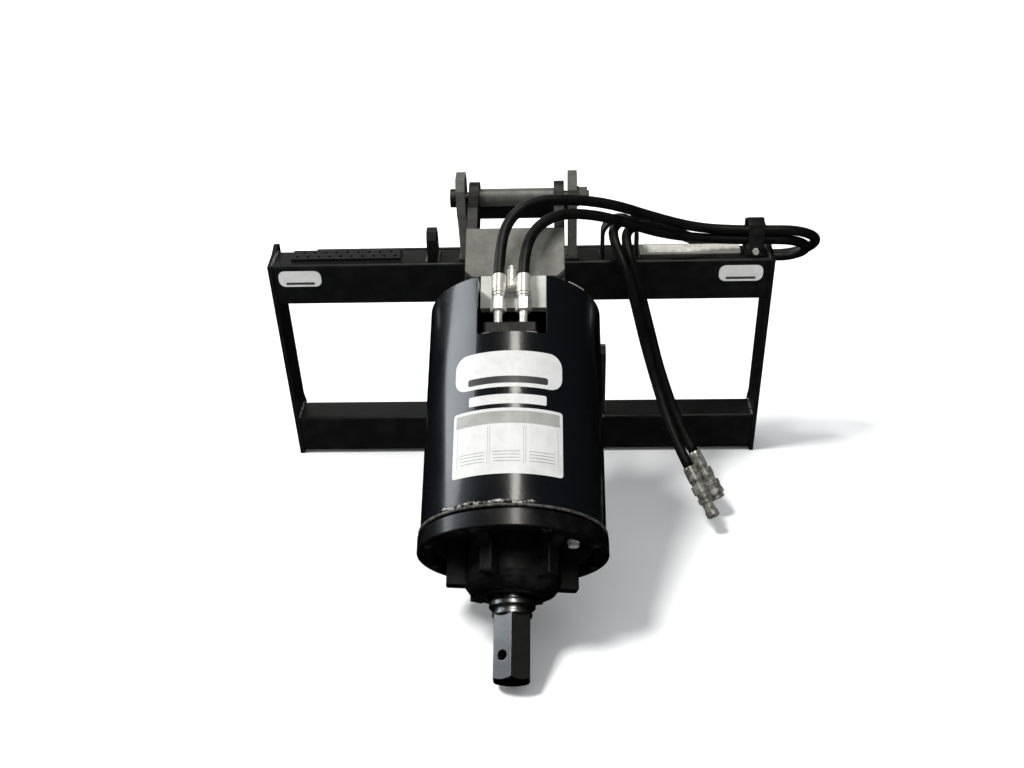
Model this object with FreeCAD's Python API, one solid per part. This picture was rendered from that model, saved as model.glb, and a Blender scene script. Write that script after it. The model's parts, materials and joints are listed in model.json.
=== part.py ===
import FreeCAD, Part
import math
import os

from FreeCAD import Vector

# Earth-drill drive for a skid-steer loader, millimetres, +Z up, +X to the right, -Y forward.
# A hydraulic motor and a planetary gearbox sit in one round housing with a hexagonal output
# shaft. The housing swings on one pin between two towers of a quick-attach frame.
#
# Frame pieces are drawn with the frame upright: y = 0 is the front of its rails and z = 0
# their underside. Drive pieces are drawn hanging straight down from the swing pin, with the
# pin's centre as origin, so that "depth" s below the pin is z = -s and the front is -y.
# Both are then set down as the object rests: frame leaning forward, shaft tip on the ground.

# ---- driving dimensions -------------------------------------------------------------------
FRAME_WIDTH = 1143.0        # 45 in, outside the end plates
FRAME_HEIGHT = 531.0        # underside of bottom rail to top of top rail
RAIL_HEIGHT = 102.0
RAIL_DEPTH = 72.0
RAIL_WALL = 6.0
END_PLATE = 10.0
END_PLATE_FRONT = 3.0       # how far the end plates stand out in front of the rails
END_PLATE_DROP = 6.0        # and below them
TOWER_INSIDE = 110.0        # half the gap between the towers
TOWER_THICK = 20.0
CHEEK_INSIDE = 184.0        # half the gap of the cradle that takes the stowed housing
CHEEK_THICK = 16.0

PIVOT_Y = 10.0
PIVOT_Z = 686.0
PIN_RADIUS = 12.7           # 1 in swing pin
SWING_FORWARD = 61.8        # drive's angle from the frame's vertical, as it rests

ARM_INSIDE = 80.0
ARM_THICK = 22.0
HOUSING_RADIUS = 171.5
HOUSING_WALL = 10.0
HOUSING_TOP = 305.0         # depths below the swing pin
HOUSING_END = 776.0
FLANGE_RADIUS = 176.0
FLANGE_TOP = 782.0
FLANGE_END = 812.0
HUB_END = 884.0
SHAFT_TIP = 1037.0
HEX_FLATS = 63.5            # 2 1/2 in output hexagon
HEX_CHAMFER = 5.0
CROSS_HOLE_DEPTH = 995.0
CROSS_HOLE_RADIUS = 9.6
NOTCH_HALF = 65.0
NOTCH_END = 433.0

GEAR_MODULE = 5.0
SUN_TEETH = 18
PLANET_TEETH = 18
RING_TEETH = 54
GEAR_TOP = 560.0
GEAR_WIDTH = 48.0
PLANETS = 3
BACKLASH = 0.25

ROTOR_LOBES = 6
ROTOR_OFFSET = 4.0          # gap between the two rotor axes
LOBE_CIRCLE = 44.0
LOBE_RADIUS = 11.0
ROTOR_TOP = 352.0
ROTOR_WIDTH = 30.0

HOSE_RADIUS = 11.0          # 1/2 in two-wire hydraulic hose
FITTING_DEPTH = 289.0       # where the hoses leave their crimped ends
FITTING_FRONT = 135.0
FITTING_X = (-27.0, 21.0)

RUN_CLEARANCE = 0.05
SIDE_GAP = 0.5

# ---- angles that follow from the driving dimensions ---------------------------------------
SWING = math.radians(SWING_FORWARD)
HEX_CORNER = HEX_FLATS / 2 / math.cos(math.pi / 6)
CONTACT_DEPTH = SHAFT_TIP - HEX_CHAMFER
CONTACT_Y = PIVOT_Y - CONTACT_DEPTH * math.sin(SWING) + HEX_CORNER * math.cos(SWING)
CONTACT_Z = PIVOT_Z - CONTACT_DEPTH * math.cos(SWING) - HEX_CORNER * math.sin(SWING)
LEAN = math.degrees(math.atan2(CONTACT_Z + END_PLATE_DROP, -CONTACT_Y - END_PLATE_FRONT))
HALF_WIDTH = FRAME_WIDTH / 2
RAIL_END = HALF_WIDTH - END_PLATE
LOWER_RAIL_TOP = RAIL_HEIGHT
UPPER_RAIL_BASE = FRAME_HEIGHT - RAIL_HEIGHT
X_AXIS = Vector(1, 0, 0)
Y_AXIS = Vector(0, 1, 0)
Z_AXIS = Vector(0, 0, 1)
ORIGIN = Vector(0, 0, 0)

nodes = {}
cord_names = set()


# ---- shape helpers ------------------------------------------------------------------------
def box(x0, x1, y0, y1, z0, z1):
    return Part.makeBox(x1 - x0, y1 - y0, z1 - z0, Vector(x0, y0, z0))


def rod(radius, start, end):
    """Cylinder between two points."""
    start, end = Vector(*start), Vector(*end)
    return Part.makeCylinder(radius, (end - start).Length, start, end - start)


def tube(outer, inner, start, end):
    return rod(outer, start, end).cut(rod(inner, start, end))


def down(radius, top, bottom, x=0.0, y=0.0):
    """Cylinder along the drive's axis, between two depths."""
    return rod(radius, (x, y, -bottom), (x, y, -top))


def hollow(outer, inner, top, bottom, x=0.0, y=0.0):
    return down(outer, top, bottom, x, y).cut(down(inner, top, bottom, x, y))


def outline(points, normal, thickness):
    """Flat plate: a closed outline pushed along an axis."""
    wire = Part.makePolygon([Vector(*p) for p in points] + [Vector(*points[0])])
    return Part.Face(wire).extrude(normal * thickness)


def side_plate(points, x0, x1):
    """Plate whose outline (y, z) stands across the object."""
    return outline([(x0, y, z) for y, z in points], X_AXIS, x1 - x0)


def front_plate(points, y0, y1):
    """Plate whose outline (x, z) faces forward."""
    return outline([(x, y0, z) for x, z in points], Y_AXIS, y1 - y0)


def turned(points):
    """Solid of revolution about the drive's axis from (radius, depth) points."""
    path = [Vector(r, 0, -s) for r, s in points]
    face = Part.Face(Part.makePolygon(path + [path[0]]))
    return face.revolve(ORIGIN, Z_AXIS, 360)


def fuse(*shapes):
    return shapes[0].multiFuse(list(shapes[1:])).removeSplitter()


def around(shape, count, centre=ORIGIN, axis=Z_AXIS, start=0.0):
    """Copies of a shape spread evenly round an axis."""
    copies = []
    for index in range(count):
        copy = shape.copy()
        copy.rotate(centre, axis, start + 360.0 * index / count)
        copies.append(copy)
    return copies


def mirror_x(shape):
    return shape.mirror(ORIGIN, X_AXIS)


def both_sides(shape):
    """A right-hand piece and its left-hand twin, as two separate solids."""
    return Part.makeCompound([shape, mirror_x(shape)])


def hexagon(flats, start, end):
    """Hexagonal bar between two points."""
    start, end = Vector(*start), Vector(*end)
    radius = flats / 2 / math.cos(math.pi / 6)
    corners = []
    for index in range(6):
        angle = math.pi / 3 * index
        corners.append((radius * math.cos(angle), radius * math.sin(angle), 0))
    bar = outline(corners, Z_AXIS, (end - start).Length)
    bar.Placement = FreeCAD.Placement(start, FreeCAD.Rotation(Z_AXIS, end - start))
    return bar


def soften(shape, radius, pick):
    """Round the edges that pick() chooses."""
    return shape.makeFillet(radius, [edge for edge in shape.Edges if pick(edge)])


def along_x(edge):
    return abs(edge.tangentAt(edge.FirstParameter).x) > 0.999


# ---- setting down -------------------------------------------------------------------------
def place_frame(shape):
    placed = shape.copy()
    placed.rotate(ORIGIN, X_AXIS, LEAN)
    return placed


def place_drive(shape):
    placed = shape.copy()
    placed.rotate(ORIGIN, X_AXIS, -SWING_FORWARD)
    placed.translate(Vector(0, PIVOT_Y, PIVOT_Z))
    return place_frame(placed)


def frame_node(name, shape, cord=False):
    nodes[name] = place_frame(shape)
    if cord:
        cord_names.add(name)


def drive_node(name, shape):
    nodes[name] = place_drive(shape)


# ---- quick-attach frame -------------------------------------------------------------------
def rail(z0):
    outside = box(-RAIL_END, RAIL_END, 0, RAIL_DEPTH, z0, z0 + RAIL_HEIGHT)
    inside = box(-RAIL_END, RAIL_END, RAIL_WALL, RAIL_DEPTH - RAIL_WALL,
                 z0 + RAIL_WALL, z0 + RAIL_HEIGHT - RAIL_WALL)
    outside = soften(outside, 7.0, along_x)
    inside = soften(inside, 3.0, along_x)
    return outside.cut(inside)


def end_plate():
    peak = FRAME_HEIGHT + 14
    points = [(-END_PLATE_FRONT, -END_PLATE_DROP), (-END_PLATE_FRONT, FRAME_HEIGHT - 2),
              (52, FRAME_HEIGHT + 4), (80, peak), (96, peak - 6), (96, 430), (84, 400), (84, 120),
              (96, 92), (96, 14), (76, -END_PLATE_DROP)]
    return side_plate(points, RAIL_END, HALF_WIDTH)


def hook_lip():
    """Sloping lip along the back of the top rail that hangs over the loader's coupler."""
    points = [(RAIL_DEPTH, 531), (RAIL_DEPTH, 517), (104, 485), (114, 495), (80, 531)]
    return side_plate(points, -470, 470)


def latch_lip():
    """Sloping shelf along the back of the bottom rail, with a slot for each latch pin."""
    points = [(RAIL_DEPTH, 12), (RAIL_DEPTH, 0), (122, -6), (122, 6)]
    shelf = side_plate(points, -RAIL_END, RAIL_END)
    for side in (-1, 1):
        x = side * 406.0
        shelf = shelf.cut(box(x - 32, x + 32, 84, 106, -20, 30))
    return shelf


def tower():
    """Upright ear with a bevelled head, bored for the swing pin."""
    points = [(14, FRAME_HEIGHT), (-12, 640), (-24, 662), (-24, 716), (-8, 738), (30, 738),
              (46, 716), (46, 662), (62, 560), (66, FRAME_HEIGHT)]
    ear = side_plate(points, TOWER_INSIDE, TOWER_INSIDE + TOWER_THICK)
    bore = rod(PIN_RADIUS, (TOWER_INSIDE - 1, PIVOT_Y, PIVOT_Z),
               (TOWER_INSIDE + TOWER_THICK + 1, PIVOT_Y, PIVOT_Z))
    return ear.cut(bore)


def cheek():
    """Cradle plate on the bottom rail, beside the stowed housing."""
    points = [(0, LOWER_RAIL_TOP), (0, 268), (6, 280), (24, 290), (44, 284), (66, 236),
              (66, LOWER_RAIL_TOP)]
    return side_plate(points, CHEEK_INSIDE, CHEEK_INSIDE + CHEEK_THICK)


def grip_strip():
    """Punched tread strip on the left half of the top rail."""
    strip = box(-520, -270, 20, 62, FRAME_HEIGHT, FRAME_HEIGHT + 6)
    holes = [rod(4.5, (-507 + 12.5 * i, 31 + 20 * (i % 2), FRAME_HEIGHT - 1),
                 (-507 + 12.5 * i, 31 + 20 * (i % 2), FRAME_HEIGHT + 7)) for i in range(20)]
    return strip.cut(Part.makeCompound(holes))


def rail_strip():
    """Plain ribbed strip on the right half of the top rail, under the hoses."""
    strip = box(272, 498, 30, 66, FRAME_HEIGHT, FRAME_HEIGHT + 6)
    ridges = [box(280 + 21.6 * i, 290 + 21.6 * i, 34, 62, FRAME_HEIGHT + 6, FRAME_HEIGHT + 7.5)
              for i in range(10)]
    return fuse(strip, *ridges)


def lifting_eye():
    """Flat lifting lug, edge to the front, with its hole across the frame."""
    points = [(8, FRAME_HEIGHT), (12, 582), (24, 600), (46, 600), (58, 582), (62, FRAME_HEIGHT)]
    lug = side_plate(points, -206, -184)
    lug = soften(lug, 2.5, along_x)
    return lug.cut(rod(13, (-207, 35, 573), (-183, 35, 573)))


def hose_hook():
    """Inverted U of flat bar: both hoses come through it from behind and hang in front."""
    outer = fuse(box(184, 268, 16, 48, FRAME_HEIGHT, 584),
                 rod(42, (226, 16, 584), (226, 48, 584)))
    inner = fuse(box(192, 260, 10, 54, FRAME_HEIGHT - 1, 584),
                 rod(34, (226, 10, 584), (226, 54, 584)))
    return outer.cut(inner)


def clamp_foot():
    """Bracket on the rail that the hose clamp is bolted to."""
    return fuse(box(506, 548, 10, 58, FRAME_HEIGHT, FRAME_HEIGHT + 8),
                box(506, 548, 50, 58, FRAME_HEIGHT, FRAME_HEIGHT + 74))


def hose_clamp():
    """Front half of the clamp: a hooked strap that closes round both hoses."""
    strap = box(510, 544, 10, 50, FRAME_HEIGHT + 8, 610)
    opening = box(509, 545, 17, 44, 552, 601)
    return strap.cut(opening).cut(rod(4, (527, 9, CLAMP_BOLT_Z), (527, 51, CLAMP_BOLT_Z)))


CLAMP_BOLT_Z = 547.0


def clamp_bolt():
    shank = rod(4, (527, 9, CLAMP_BOLT_Z), (527, 50, CLAMP_BOLT_Z))
    return fuse(shank, hexagon(13, (527, 3, CLAMP_BOLT_Z), (527, 10, CLAMP_BOLT_Z)))


def pivot_pin():
    """Swing pin with a round head at its left end and a groove-free plain right end."""
    end = TOWER_INSIDE + TOWER_THICK
    shank = rod(PIN_RADIUS, (-end - 2, PIVOT_Y, PIVOT_Z), (end + 26, PIVOT_Y, PIVOT_Z))
    head = rod(20, (-end - 14, PIVOT_Y, PIVOT_Z), (-end, PIVOT_Y, PIVOT_Z))
    return fuse(shank, head)


def pivot_nut():
    end = TOWER_INSIDE + TOWER_THICK
    washer = tube(22, PIN_RADIUS, (end, PIVOT_Y, PIVOT_Z), (end + 4, PIVOT_Y, PIVOT_Z))
    nut = hexagon(38, (end + 4, PIVOT_Y, PIVOT_Z), (end + 22, PIVOT_Y, PIVOT_Z))
    nut = nut.cut(rod(PIN_RADIUS, (end, PIVOT_Y, PIVOT_Z), (end + 23, PIVOT_Y, PIVOT_Z)))
    return fuse(washer, nut)


STOP_Z = 648.0


def stop_bar():
    """Flat bar between the towers that the drive's heels rest on when it is swung forward."""
    return box(-TOWER_INSIDE, TOWER_INSIDE, 50, 64, STOP_Z - 32, STOP_Z)


def build_frame():
    frame_node("top_rail", rail(UPPER_RAIL_BASE))
    frame_node("bottom_rail", rail(0))
    frame_node("end_plates", both_sides(end_plate()))
    frame_node("hook_lip", hook_lip())
    frame_node("latch_lip", latch_lip())
    frame_node("pivot_towers", both_sides(tower()))
    frame_node("stop_bar", stop_bar())
    frame_node("cradle_cheeks", both_sides(cheek()))
    frame_node("grip_strip", grip_strip())
    frame_node("rail_strip", rail_strip())
    frame_node("lifting_eye", lifting_eye())
    frame_node("hose_hook", hose_hook())
    frame_node("clamp_foot", clamp_foot())
    frame_node("hose_clamp", hose_clamp())
    frame_node("clamp_bolt", clamp_bolt())
    frame_node("pivot_pin", pivot_pin())
    frame_node("pivot_nut", pivot_nut())


# ---- hanger and housing of the drive ------------------------------------------------------
def hanger_arm():
    """Arm from the swing pin down to the housing's cap."""
    x0, x1 = ARM_INSIDE, ARM_INSIDE + ARM_THICK
    blade = side_plate([(-46, -60), (-30, -16), (28, -16), (28, -HOUSING_TOP), (-46, -HOUSING_TOP)],
                       x0, x1)
    arm = fuse(blade, rod(34, (x0, 0, 0), (x1, 0, 0)))
    return arm.cut(rod(PIN_RADIUS + RUN_CLEARANCE, (x0 - 1, 0, 0), (x1 + 1, 0, 0)))


def heel(side):
    """Heel on an arm's boss, lying on the frame's stop bar at rest, in the upright frame."""
    x0 = side * (ARM_INSIDE + ARM_THICK / 2) - ARM_THICK / 2
    pad = side_plate([(PIVOT_Y + 10, STOP_Z + 22), (PIVOT_Y + 10, STOP_Z + 0.02),
                      (60, STOP_Z + 0.02), (60, STOP_Z + 22)], x0, x0 + ARM_THICK)
    bore = rod(PIN_RADIUS + RUN_CLEARANCE, (-200, PIVOT_Y, PIVOT_Z), (200, PIVOT_Y, PIVOT_Z))
    return place_frame(pad.cut(bore))


def pivot_tube():
    return tube(19, PIN_RADIUS + RUN_CLEARANCE, (-ARM_INSIDE, 0, 0), (ARM_INSIDE, 0, 0))


def hanger_plate():
    """Front plate across both arms, with its lower corners cut off."""
    half, cut = 101.0, 15.0
    points = [(-half, -125), (half, -125), (half, -243 + cut), (half - cut, -243),
              (-half + cut, -243), (-half, -243 + cut)]
    return front_plate(points, -62, -46)


def notch_cutter(front, back, top, bottom):
    return box(-NOTCH_HALF, NOTCH_HALF, -front, -back, -bottom, -top)


def housing_shell():
    shell = hollow(HOUSING_RADIUS, HOUSING_RADIUS - HOUSING_WALL, HOUSING_TOP, HOUSING_END)
    notch = notch_cutter(200, 100, HOUSING_TOP - 5, NOTCH_END)
    notch = soften(notch, 9.0, lambda e: abs(e.tangentAt(e.FirstParameter).y) > 0.999
                   and e.CenterOfMass.z < -NOTCH_END + 1)
    return shell.cut(notch)


CAP_THICK = 8.0


def top_cap():
    """Cap inside the top of the shell, cut away in front for the hoses."""
    radius = HOUSING_RADIUS - HOUSING_WALL
    cap = down(radius, HOUSING_TOP, HOUSING_TOP + CAP_THICK)
    return cap.cut(notch_cutter(200, 92, HOUSING_TOP - 5, HOUSING_TOP + 20))


def port_guard():
    """Pale plate behind the hose fittings, hung from the cap inside the notch."""
    return fuse(box(-64, 64, -108, -92, -345, -272), box(-64, 64, -92, -62, -305, -294))


def relief_valve():
    body = turned([(0, 270), (10, 270), (12.5, 273), (12.5, 310), (9, 314), (0, 314)])
    cap = turned([(0, 259), (5.5, 259), (6.5, 260), (6.5, 270), (0, 270)])
    valve = fuse(body, cap)
    valve.translate(Vector(-3, -122, 0))
    return fuse(valve, rod(7, (-3, -122, -300), (-3, -108, -300)))


def build_housing():
    right, left = place_drive(hanger_arm()), place_drive(mirror_x(hanger_arm()))
    nodes["hanger_arms"] = Part.makeCompound([fuse(right, heel(1)), fuse(left, heel(-1))])
    drive_node("pivot_tube", pivot_tube())
    drive_node("hanger_plate", hanger_plate())
    drive_node("housing_shell", housing_shell())
    drive_node("top_cap", top_cap())
    drive_node("port_guard", port_guard())
    drive_node("relief_valve", relief_valve())


# ---- hydraulic motor ----------------------------------------------------------------------
MOTOR_RADIUS = 72.0
OUTER_ROTOR_RADIUS = 57.0
MOTOR_SCREW_CIRCLE = 66.5
MOTOR_END = 470.0


def rotor_profile(clearance):
    """Inner rotor: the curve that rolls inside the outer rotor's round lobes."""
    steps = 144
    points = []
    turns = ROTOR_LOBES + 1
    for index in range(steps):
        angle = 2 * math.pi * index / steps
        x = LOBE_CIRCLE * math.cos(angle) + ROTOR_OFFSET * math.cos(turns * angle)
        y = LOBE_CIRCLE * math.sin(angle) + ROTOR_OFFSET * math.sin(turns * angle)
        dx = -LOBE_CIRCLE * math.sin(angle) - turns * ROTOR_OFFSET * math.sin(turns * angle)
        dy = LOBE_CIRCLE * math.cos(angle) + turns * ROTOR_OFFSET * math.cos(turns * angle)
        inset = (LOBE_RADIUS + clearance) / math.hypot(dx, dy)
        points.append(Vector(x - dy * inset, y + dx * inset, -ROTOR_TOP - ROTOR_WIDTH))
    curve = Part.BSplineCurve()
    curve.interpolate(points, PeriodicFlag=True)
    return Part.Face(Part.Wire(curve.toShape())).extrude(Z_AXIS * ROTOR_WIDTH)


def outer_rotor():
    """Ring with seven round lobes, turning on an axis beside the shaft's."""
    x = ROTOR_OFFSET
    top, bottom = ROTOR_TOP, ROTOR_TOP + ROTOR_WIDTH
    ring = hollow(OUTER_ROTOR_RADIUS, LOBE_CIRCLE - 1.0, top, bottom, x)
    lobe = down(LOBE_RADIUS, top, bottom, x + LOBE_CIRCLE)
    lobes = around(lobe, ROTOR_LOBES + 1, Vector(x, 0, 0))
    return fuse(ring, *lobes)


def motor_case():
    """Round case with an off-centre bore for the outer rotor."""
    case = down(MOTOR_RADIUS, ROTOR_TOP - 0.3, ROTOR_TOP + ROTOR_WIDTH + 0.3)
    bore = OUTER_ROTOR_RADIUS + RUN_CLEARANCE
    case = case.cut(down(bore, ROTOR_TOP - 1, ROTOR_TOP + ROTOR_WIDTH + 1, ROTOR_OFFSET))
    return with_screw_holes(case)


def motor_end_cover():
    cover = turned([(0, 314), (44, 314), (50, 322), (MOTOR_RADIUS, 322),
                    (MOTOR_RADIUS, ROTOR_TOP - 0.3), (0, ROTOR_TOP - 0.3)])
    return with_screw_holes(cover)


def port_block():
    """Valve block under the rotors; its front lug takes both hose adapters from above."""
    top, bottom = ROTOR_TOP + ROTOR_WIDTH + 0.3, MOTOR_END
    block = down(MOTOR_RADIUS, top, bottom)
    lug = box(-54, 48, -152, -40, -452, -402)
    block = fuse(block, soften(lug, 6.0, lambda e: abs(e.tangentAt(e.FirstParameter).z) > 0.999
                               and e.CenterOfMass.y < -150))
    block = block.cut(down(17.5, top - 1, bottom + 1))
    for x in FITTING_X:
        block = block.cut(down(9.0, 401, 432, x, -FITTING_FRONT))
    return with_screw_holes(block)


def motor_screws():
    """Cap screws through the motor's cover, case and valve block."""
    shank = down(4.0, 320, 460, MOTOR_SCREW_CIRCLE)
    head = down(5.4, 314, 322, MOTOR_SCREW_CIRCLE)
    return around(fuse(head, shank), 4, start=45.0)


def with_screw_holes(shape):
    for screw in motor_screws():
        shape = shape.cut(screw)
    return shape


def motor_shaft():
    """Drive shaft from the inner rotor to the sun gear."""
    shaft = down(17.5 - RUN_CLEARANCE, ROTOR_TOP, GEAR_TOP - 2)
    return fuse(shaft, down(15.0, GEAR_TOP - 4, GEAR_TOP + GEAR_WIDTH - 1))


def inner_rotor():
    return rotor_profile(0.15).cut(down(17.5 - RUN_CLEARANCE, ROTOR_TOP - 1,
                                        ROTOR_TOP + ROTOR_WIDTH + 1))


# ---- planetary gearbox --------------------------------------------------------------------
def involute_point(base, angle):
    """Point of the involute unrolled from the base circle by an angle."""
    x = base * (math.cos(angle) + angle * math.sin(angle))
    y = base * (math.sin(angle) - angle * math.cos(angle))
    return x, y


def gear_outline(teeth, tip, root, thin):
    """Closed face of a 20-degree involute gear, its first tooth on +X."""
    pitch = GEAR_MODULE * teeth / 2
    base = pitch * math.cos(math.radians(20))
    start = max(root, base)
    low = math.sqrt((start / base) ** 2 - 1)
    high = math.sqrt((tip / base) ** 2 - 1)
    roll = math.tan(math.radians(20)) - math.radians(20)
    half = math.pi / 2 / teeth - thin / pitch + roll
    flank = []
    for index in range(6):
        angle = low + (high - low) * index / 5
        x, y = involute_point(base, angle)
        flank.append((math.hypot(x, y), math.atan2(y, x) - half))
    edges = []

    def at(radius, angle):
        return Vector(radius * math.cos(angle), radius * math.sin(angle), 0)

    def flank_edge(points):
        curve = Part.BSplineCurve()
        curve.interpolate(points)
        return curve.toShape()

    for tooth in range(teeth):
        turn = 2 * math.pi * tooth / teeth
        following = turn + 2 * math.pi / teeth
        rising = [at(r, turn + a) for r, a in flank]
        falling = [at(r, turn - a) for r, a in reversed(flank)]
        foot_in = at(root, turn + flank[0][1])
        foot_out = at(root, turn - flank[0][1])
        if start > root + 1e-6:
            edges.append(Part.LineSegment(foot_in, rising[0]).toShape())
        edges.append(flank_edge(rising))
        edges.append(Part.Arc(rising[-1], at(tip, turn), falling[0]).toShape())
        edges.append(flank_edge(falling))
        if start > root + 1e-6:
            edges.append(Part.LineSegment(falling[-1], foot_out).toShape())
        middle = at(root, turn + math.pi / teeth)
        edges.append(Part.Arc(foot_out, middle, at(root, following + flank[0][1])).toShape())
    return Part.Face(Part.Wire(edges))


def spur_gear(teeth, top, width, bore):
    pitch = GEAR_MODULE * teeth / 2
    face = gear_outline(teeth, pitch + 0.95 * GEAR_MODULE, pitch - 1.25 * GEAR_MODULE, BACKLASH)
    gear = face.extrude(Z_AXIS * width)
    gear.translate(Vector(0, 0, -top - width))
    return gear.cut(down(bore, top - 1, top + width + 1))


def ring_gear():
    """Internal gear fixed in the shell, with a tooth on +X."""
    pitch = GEAR_MODULE * RING_TEETH / 2
    face = gear_outline(RING_TEETH, pitch + 1.25 * GEAR_MODULE, pitch - 0.9 * GEAR_MODULE,
                        -BACKLASH)
    face.rotate(ORIGIN, Z_AXIS, 180.0 / RING_TEETH)
    top, width = GEAR_TOP - 2, GEAR_WIDTH + 4
    space = face.extrude(Z_AXIS * (width + 4))
    space.translate(Vector(0, 0, -top - width - 2))
    return down(HOUSING_RADIUS - HOUSING_WALL, top, top + width).cut(space)


ORBIT = GEAR_MODULE * (SUN_TEETH + PLANET_TEETH) / 2
PLANET_BORE = 22.0


def planet_gear(index):
    gear = spur_gear(PLANET_TEETH, GEAR_TOP, GEAR_WIDTH, PLANET_BORE)
    angle = 360.0 / PLANETS * index
    gear.rotate(ORIGIN, Z_AXIS, angle + 180.0 / PLANET_TEETH)
    gear.translate(Vector(ORBIT * math.cos(math.radians(angle)),
                          ORBIT * math.sin(math.radians(angle)), 0))
    return gear


def planet_pins():
    pin = down(PLANET_BORE - RUN_CLEARANCE, GEAR_TOP - 3, GEAR_TOP + GEAR_WIDTH + 12, ORBIT)
    return around(pin, PLANETS)


CARRIER_TOP = GEAR_TOP + GEAR_WIDTH + 2
SHAFT_RADIUS = 40.0


def planet_carrier():
    """Carrier plate on the output shaft's inner end, bored for the three pins."""
    plate = down(124, CARRIER_TOP, CARRIER_TOP + 26)
    plate = fuse(plate, down(60, CARRIER_TOP + 26, CARRIER_TOP + 44))
    for pin in planet_pins():
        plate = plate.cut(pin)
    return plate.cut(down(SHAFT_RADIUS, CARRIER_TOP + 8, CARRIER_TOP + 50))


def output_shaft():
    """Stepped shaft: gearbox journal, seal collar, then the hexagon with its cross hole."""
    journal = turned([(0, CARRIER_TOP + 8), (SHAFT_RADIUS, CARRIER_TOP + 8), (SHAFT_RADIUS, 890),
                      (36, 891), (36, 895), (40, 896), (42, 899), (42, 906), (39, 909), (34, 910),
                      (34, 915), (36, 916), (36, 921), (31, 926), (0, 926)])
    bar = hexagon(HEX_FLATS, (0, 0, -SHAFT_TIP), (0, 0, -918))
    bar.rotate(ORIGIN, Z_AXIS, 30)
    bevel = turned([(0, 918), (HEX_CORNER - 4, 918), (HEX_CORNER + 1, 923), (HEX_CORNER + 1, SHAFT_TIP - HEX_CHAMFER),
                    (HEX_CORNER, SHAFT_TIP - HEX_CHAMFER), (HEX_CORNER - 6, SHAFT_TIP),
                    (0, SHAFT_TIP)])
    shaft = fuse(journal, bar.common(bevel))
    hole = rod(CROSS_HOLE_RADIUS, (0, -50, -CROSS_HOLE_DEPTH), (0, 50, -CROSS_HOLE_DEPTH))
    hole.rotate(ORIGIN, Z_AXIS, CROSS_HOLE_TURN)
    return shaft.cut(hole)


CROSS_HOLE_TURN = -30.0


def bearing(top, bottom, outer):
    """Roller bearing: inner race, outer race and the rollers between."""
    inner_race = hollow(outer - 26, SHAFT_RADIUS, top, bottom)
    outer_race = hollow(outer, outer - 9, top, bottom)
    roller = down(8.3, top + 3, bottom - 3, outer - 17.5)
    return inner_race, outer_race, around(roller, ROLLERS)


ROLLERS = 14
BEARINGS = [(676, 712, 86), (800, 836, 69)]


def bearing_carrier():
    """Bearing housing inside the shell under the carrier."""
    radius = HOUSING_RADIUS - HOUSING_WALL
    body = turned([(86, 668), (120, 668), (120, 700), (radius, 712), (radius, 728), (120, 728),
                   (100, HOUSING_END), (86, HOUSING_END)])
    return body


RIB_THICK = 24.0
RIB_REACH = 120.0
RIB_END = 870.0
RIB_START = 9.0


def bearing_hub():
    """Cast bottom hub: disc, ribs and a round-ended boss for the lower bearing and seal."""
    disc = down(FLANGE_RADIUS - 27, FLANGE_TOP - 6, 794)
    boss = turned([(0, 790), (88, 790), (88, HUB_END - 26), (85, HUB_END - 14), (78, HUB_END - 5),
                   (68, HUB_END), (0, HUB_END)])
    rib = outline([(74, -RIB_THICK / 2, -792), (146, -RIB_THICK / 2, -792),
                   (144, -RIB_THICK / 2, -804), (RIB_REACH, -RIB_THICK / 2, -820),
                   (RIB_REACH, -RIB_THICK / 2, -RIB_END), (74, -RIB_THICK / 2, -RIB_END)],
                  Y_AXIS, RIB_THICK)
    rib = soften(rib, 4.0, lambda e: e.CenterOfMass.x > RIB_REACH - 1 and e.CenterOfMass.z < -822)
    hub = fuse(disc, boss, *around(rib, 6, start=RIB_START))
    hub = hub.cut(down(69, FLANGE_TOP - 8, 846))
    hub = hub.cut(down(54, 840, HUB_END + 1))
    return hub


def bottom_flange():
    """Ring that clamps the hub to the shell, counterbored for its screws."""
    ring = hollow(FLANGE_RADIUS, FLANGE_RADIUS - 27, FLANGE_TOP, FLANGE_END)
    ring = fuse(ring, hollow(168, FLANGE_RADIUS - 27, HOUSING_END, FLANGE_TOP))
    ring = soften(ring, 2.5, lambda e: abs(e.BoundBox.ZMin + FLANGE_END) < 0.01
                  and e.BoundBox.XMax > FLANGE_RADIUS - 1)
    for well in around(down(9.5, 796, FLANGE_END + 1, 162.5), 8, start=FLANGE_SCREW_START):
        ring = ring.cut(well)
    return ring


FLANGE_SCREW_START = 203.0


def flange_screws():
    """Socket-head screws sunk in the flange."""
    head = down(8.0, 796, 806, 162.5).cut(hexagon(7, (162.5, 0, -807), (162.5, 0, -801)))
    return around(head, 8, start=FLANGE_SCREW_START)


def oil_seal():
    return hollow(54, SHAFT_RADIUS + 0.3, 848, 862)


def seal_cap():
    """Retaining ring under the seal, round the shaft collar."""
    return turned([(44, 862.5), (54, 862.5), (54, HUB_END + 2), (50, HUB_END + 5),
                   (44, HUB_END + 5)])


def drain_plug():
    plug = hexagon(17, (0, 0, -806), (0, 0, -794)).fuse(down(11, 794, 798))
    plug.translate(Vector(118 * math.cos(math.radians(-21)), 118 * math.sin(math.radians(-21)), 0))
    return plug


def retaining_nut():
    """Slotted nut that holds the shaft in the upper bearing."""
    nut = hollow(58, SHAFT_RADIUS, 776, 786)
    for slot in around(box(52, 60, -5, 5, -790, -770), 4):
        nut = nut.cut(slot)
    return nut


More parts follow.
